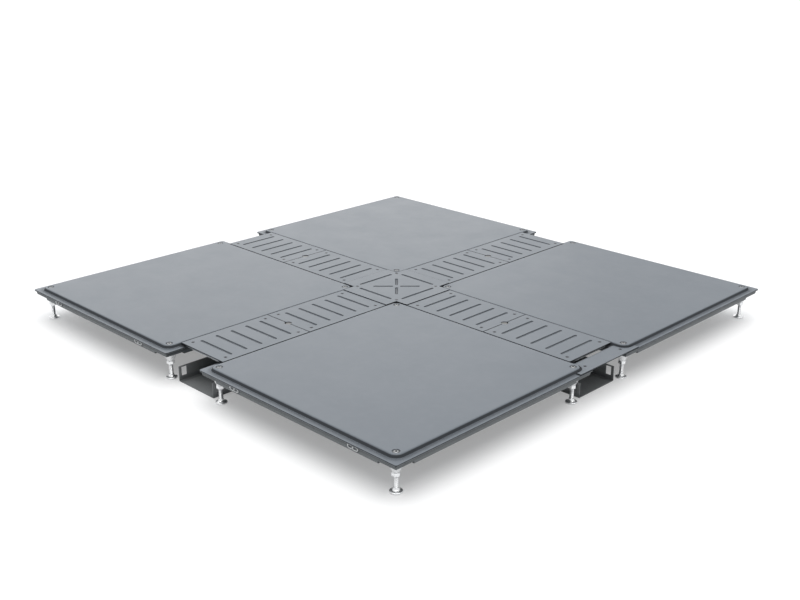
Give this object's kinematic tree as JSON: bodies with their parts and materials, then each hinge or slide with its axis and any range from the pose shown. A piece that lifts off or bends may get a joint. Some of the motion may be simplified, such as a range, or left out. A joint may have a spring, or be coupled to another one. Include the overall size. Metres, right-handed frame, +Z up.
{
  "type": "low-profile raised floor panel",
  "caption": "Low-profile raised access floor: filled steel panels on levelling pedestals, with a cross-shaped cable trough under lift-out cover plates.",
  "frame": {"origin": "on the slab, under the middle of the trough crossing", "axes": "+Z up out of the slab; +X and +Y along the two cable troughs; the bridging strip lies at the +X end"},
  "size_m": [1.096, 1.096, 0.071],
  "materials": {
    "floor_enamel": "satin epoxy paint",
    "cover_enamel": "satin epoxy paint",
    "galvanised_sheet": "galvanised",
    "tray_steel": "dark paint",
    "zinc_plate": "bright zinc plate",
    "bright_screw": "bright zinc plate",
    "cap_plastic": "moulded",
    "cement_fill": "cast, light cement"
  },
  "bodies": {
    "root": {"deck_sheet_front": "floor_enamel", "pan_front": "floor_enamel", "infill_front": "cement_fill", "pedestal_heads_front": "zinc_plate", "deck_sheet_right": "floor_enamel", "pan_right": "floor_enamel", "infill_right": "cement_fill", "pedestal_heads_right": "zinc_plate", "deck_sheet_back": "floor_enamel", "pan_back": "floor_enamel", "infill_back": "cement_fill", "pedestal_heads_back": "zinc_plate", "deck_sheet_left": "floor_enamel", "pan_left": "floor_enamel", "infill_left": "cement_fill", "pedestal_heads_left": "zinc_plate", "lock_nuts": "zinc_plate", "corner_screws": "bright_screw", "filler_caps": "cap_plastic", "cover_right_front_inner": "cover_enamel", "cover_frame_right_front_inner": "galvanised_sheet", "cover_right_front_outer": "cover_enamel", "cover_frame_right_front_outer": "galvanised_sheet", "cable_tray_right_front": "tray_steel", "cover_right_back_inner": "cover_enamel", "cover_frame_right_back_inner": "galvanised_sheet", "cover_right_back_outer": "cover_enamel", "cover_frame_right_back_outer": "galvanised_sheet", "cable_tray_right_back": "tray_steel", "cover_left_back_inner": "cover_enamel", "cover_frame_left_back_inner": "galvanised_sheet", "cover_left_back_outer": "cover_enamel", "cover_frame_left_back_outer": "galvanised_sheet", "cable_tray_left_back": "tray_steel", "cover_left_front_inner": "cover_enamel", "cover_frame_left_front_inner": "galvanised_sheet", "cover_left_front_outer": "cover_enamel", "cover_frame_left_front_outer": "galvanised_sheet", "cable_tray_left_front": "tray_steel", "centre_plate": "cover_enamel", "centre_frame": "galvanised_sheet", "bridging_strip": "cover_enamel"},
    "levelling_foot_front_1": {"foot_front_1": "zinc_plate"},
    "levelling_foot_front_2": {"foot_front_2": "zinc_plate"},
    "levelling_foot_front_3": {"foot_front_3": "zinc_plate"},
    "levelling_foot_front_4": {"foot_front_4": "zinc_plate"},
    "levelling_foot_right_1": {"foot_right_1": "zinc_plate"},
    "levelling_foot_right_2": {"foot_right_2": "zinc_plate"},
    "levelling_foot_right_3": {"foot_right_3": "zinc_plate"},
    "levelling_foot_right_4": {"foot_right_4": "zinc_plate"},
    "levelling_foot_back_1": {"foot_back_1": "zinc_plate"},
    "levelling_foot_back_2": {"foot_back_2": "zinc_plate"},
    "levelling_foot_back_3": {"foot_back_3": "zinc_plate"},
    "levelling_foot_back_4": {"foot_back_4": "zinc_plate"},
    "levelling_foot_left_1": {"foot_left_1": "zinc_plate"},
    "levelling_foot_left_2": {"foot_left_2": "zinc_plate"},
    "levelling_foot_left_3": {"foot_left_3": "zinc_plate"},
    "levelling_foot_left_4": {"foot_left_4": "zinc_plate"}
  },
  "joints": [
    {"name": "thread_front_1", "type": "slide", "parent": "root", "child": "levelling_foot_front_1", "axis": [0, 0, 1], "range_m": [-0.004, 0.003]},
    {"name": "thread_front_2", "type": "slide", "parent": "root", "child": "levelling_foot_front_2", "axis": [0, 0, 1], "range_m": [-0.004, 0.003]},
    {"name": "thread_front_3", "type": "slide", "parent": "root", "child": "levelling_foot_front_3", "axis": [0, 0, 1], "range_m": [-0.004, 0.003]},
    {"name": "thread_front_4", "type": "slide", "parent": "root", "child": "levelling_foot_front_4", "axis": [0, 0, 1], "range_m": [-0.004, 0.003]},
    {"name": "thread_right_1", "type": "slide", "parent": "root", "child": "levelling_foot_right_1", "axis": [0, 0, 1], "range_m": [-0.004, 0.003]},
    {"name": "thread_right_2", "type": "slide", "parent": "root", "child": "levelling_foot_right_2", "axis": [0, 0, 1], "range_m": [-0.004, 0.003]},
    {"name": "thread_right_3", "type": "slide", "parent": "root", "child": "levelling_foot_right_3", "axis": [0, 0, 1], "range_m": [-0.004, 0.003]},
    {"name": "thread_right_4", "type": "slide", "parent": "root", "child": "levelling_foot_right_4", "axis": [0, 0, 1], "range_m": [-0.004, 0.003]},
    {"name": "thread_back_1", "type": "slide", "parent": "root", "child": "levelling_foot_back_1", "axis": [0, 0, 1], "range_m": [-0.004, 0.003]},
    {"name": "thread_back_2", "type": "slide", "parent": "root", "child": "levelling_foot_back_2", "axis": [0, 0, 1], "range_m": [-0.004, 0.003]},
    {"name": "thread_back_3", "type": "slide", "parent": "root", "child": "levelling_foot_back_3", "axis": [0, 0, 1], "range_m": [-0.004, 0.003]},
    {"name": "thread_back_4", "type": "slide", "parent": "root", "child": "levelling_foot_back_4", "axis": [0, 0, 1], "range_m": [-0.004, 0.003]},
    {"name": "thread_left_1", "type": "slide", "parent": "root", "child": "levelling_foot_left_1", "axis": [0, 0, 1], "range_m": [-0.004, 0.003]},
    {"name": "thread_left_2", "type": "slide", "parent": "root", "child": "levelling_foot_left_2", "axis": [0, 0, 1], "range_m": [-0.004, 0.003]},
    {"name": "thread_left_3", "type": "slide", "parent": "root", "child": "levelling_foot_left_3", "axis": [0, 0, 1], "range_m": [-0.004, 0.003]},
    {"name": "thread_left_4", "type": "slide", "parent": "root", "child": "levelling_foot_left_4", "axis": [0, 0, 1], "range_m": [-0.004, 0.003]}
  ]
}
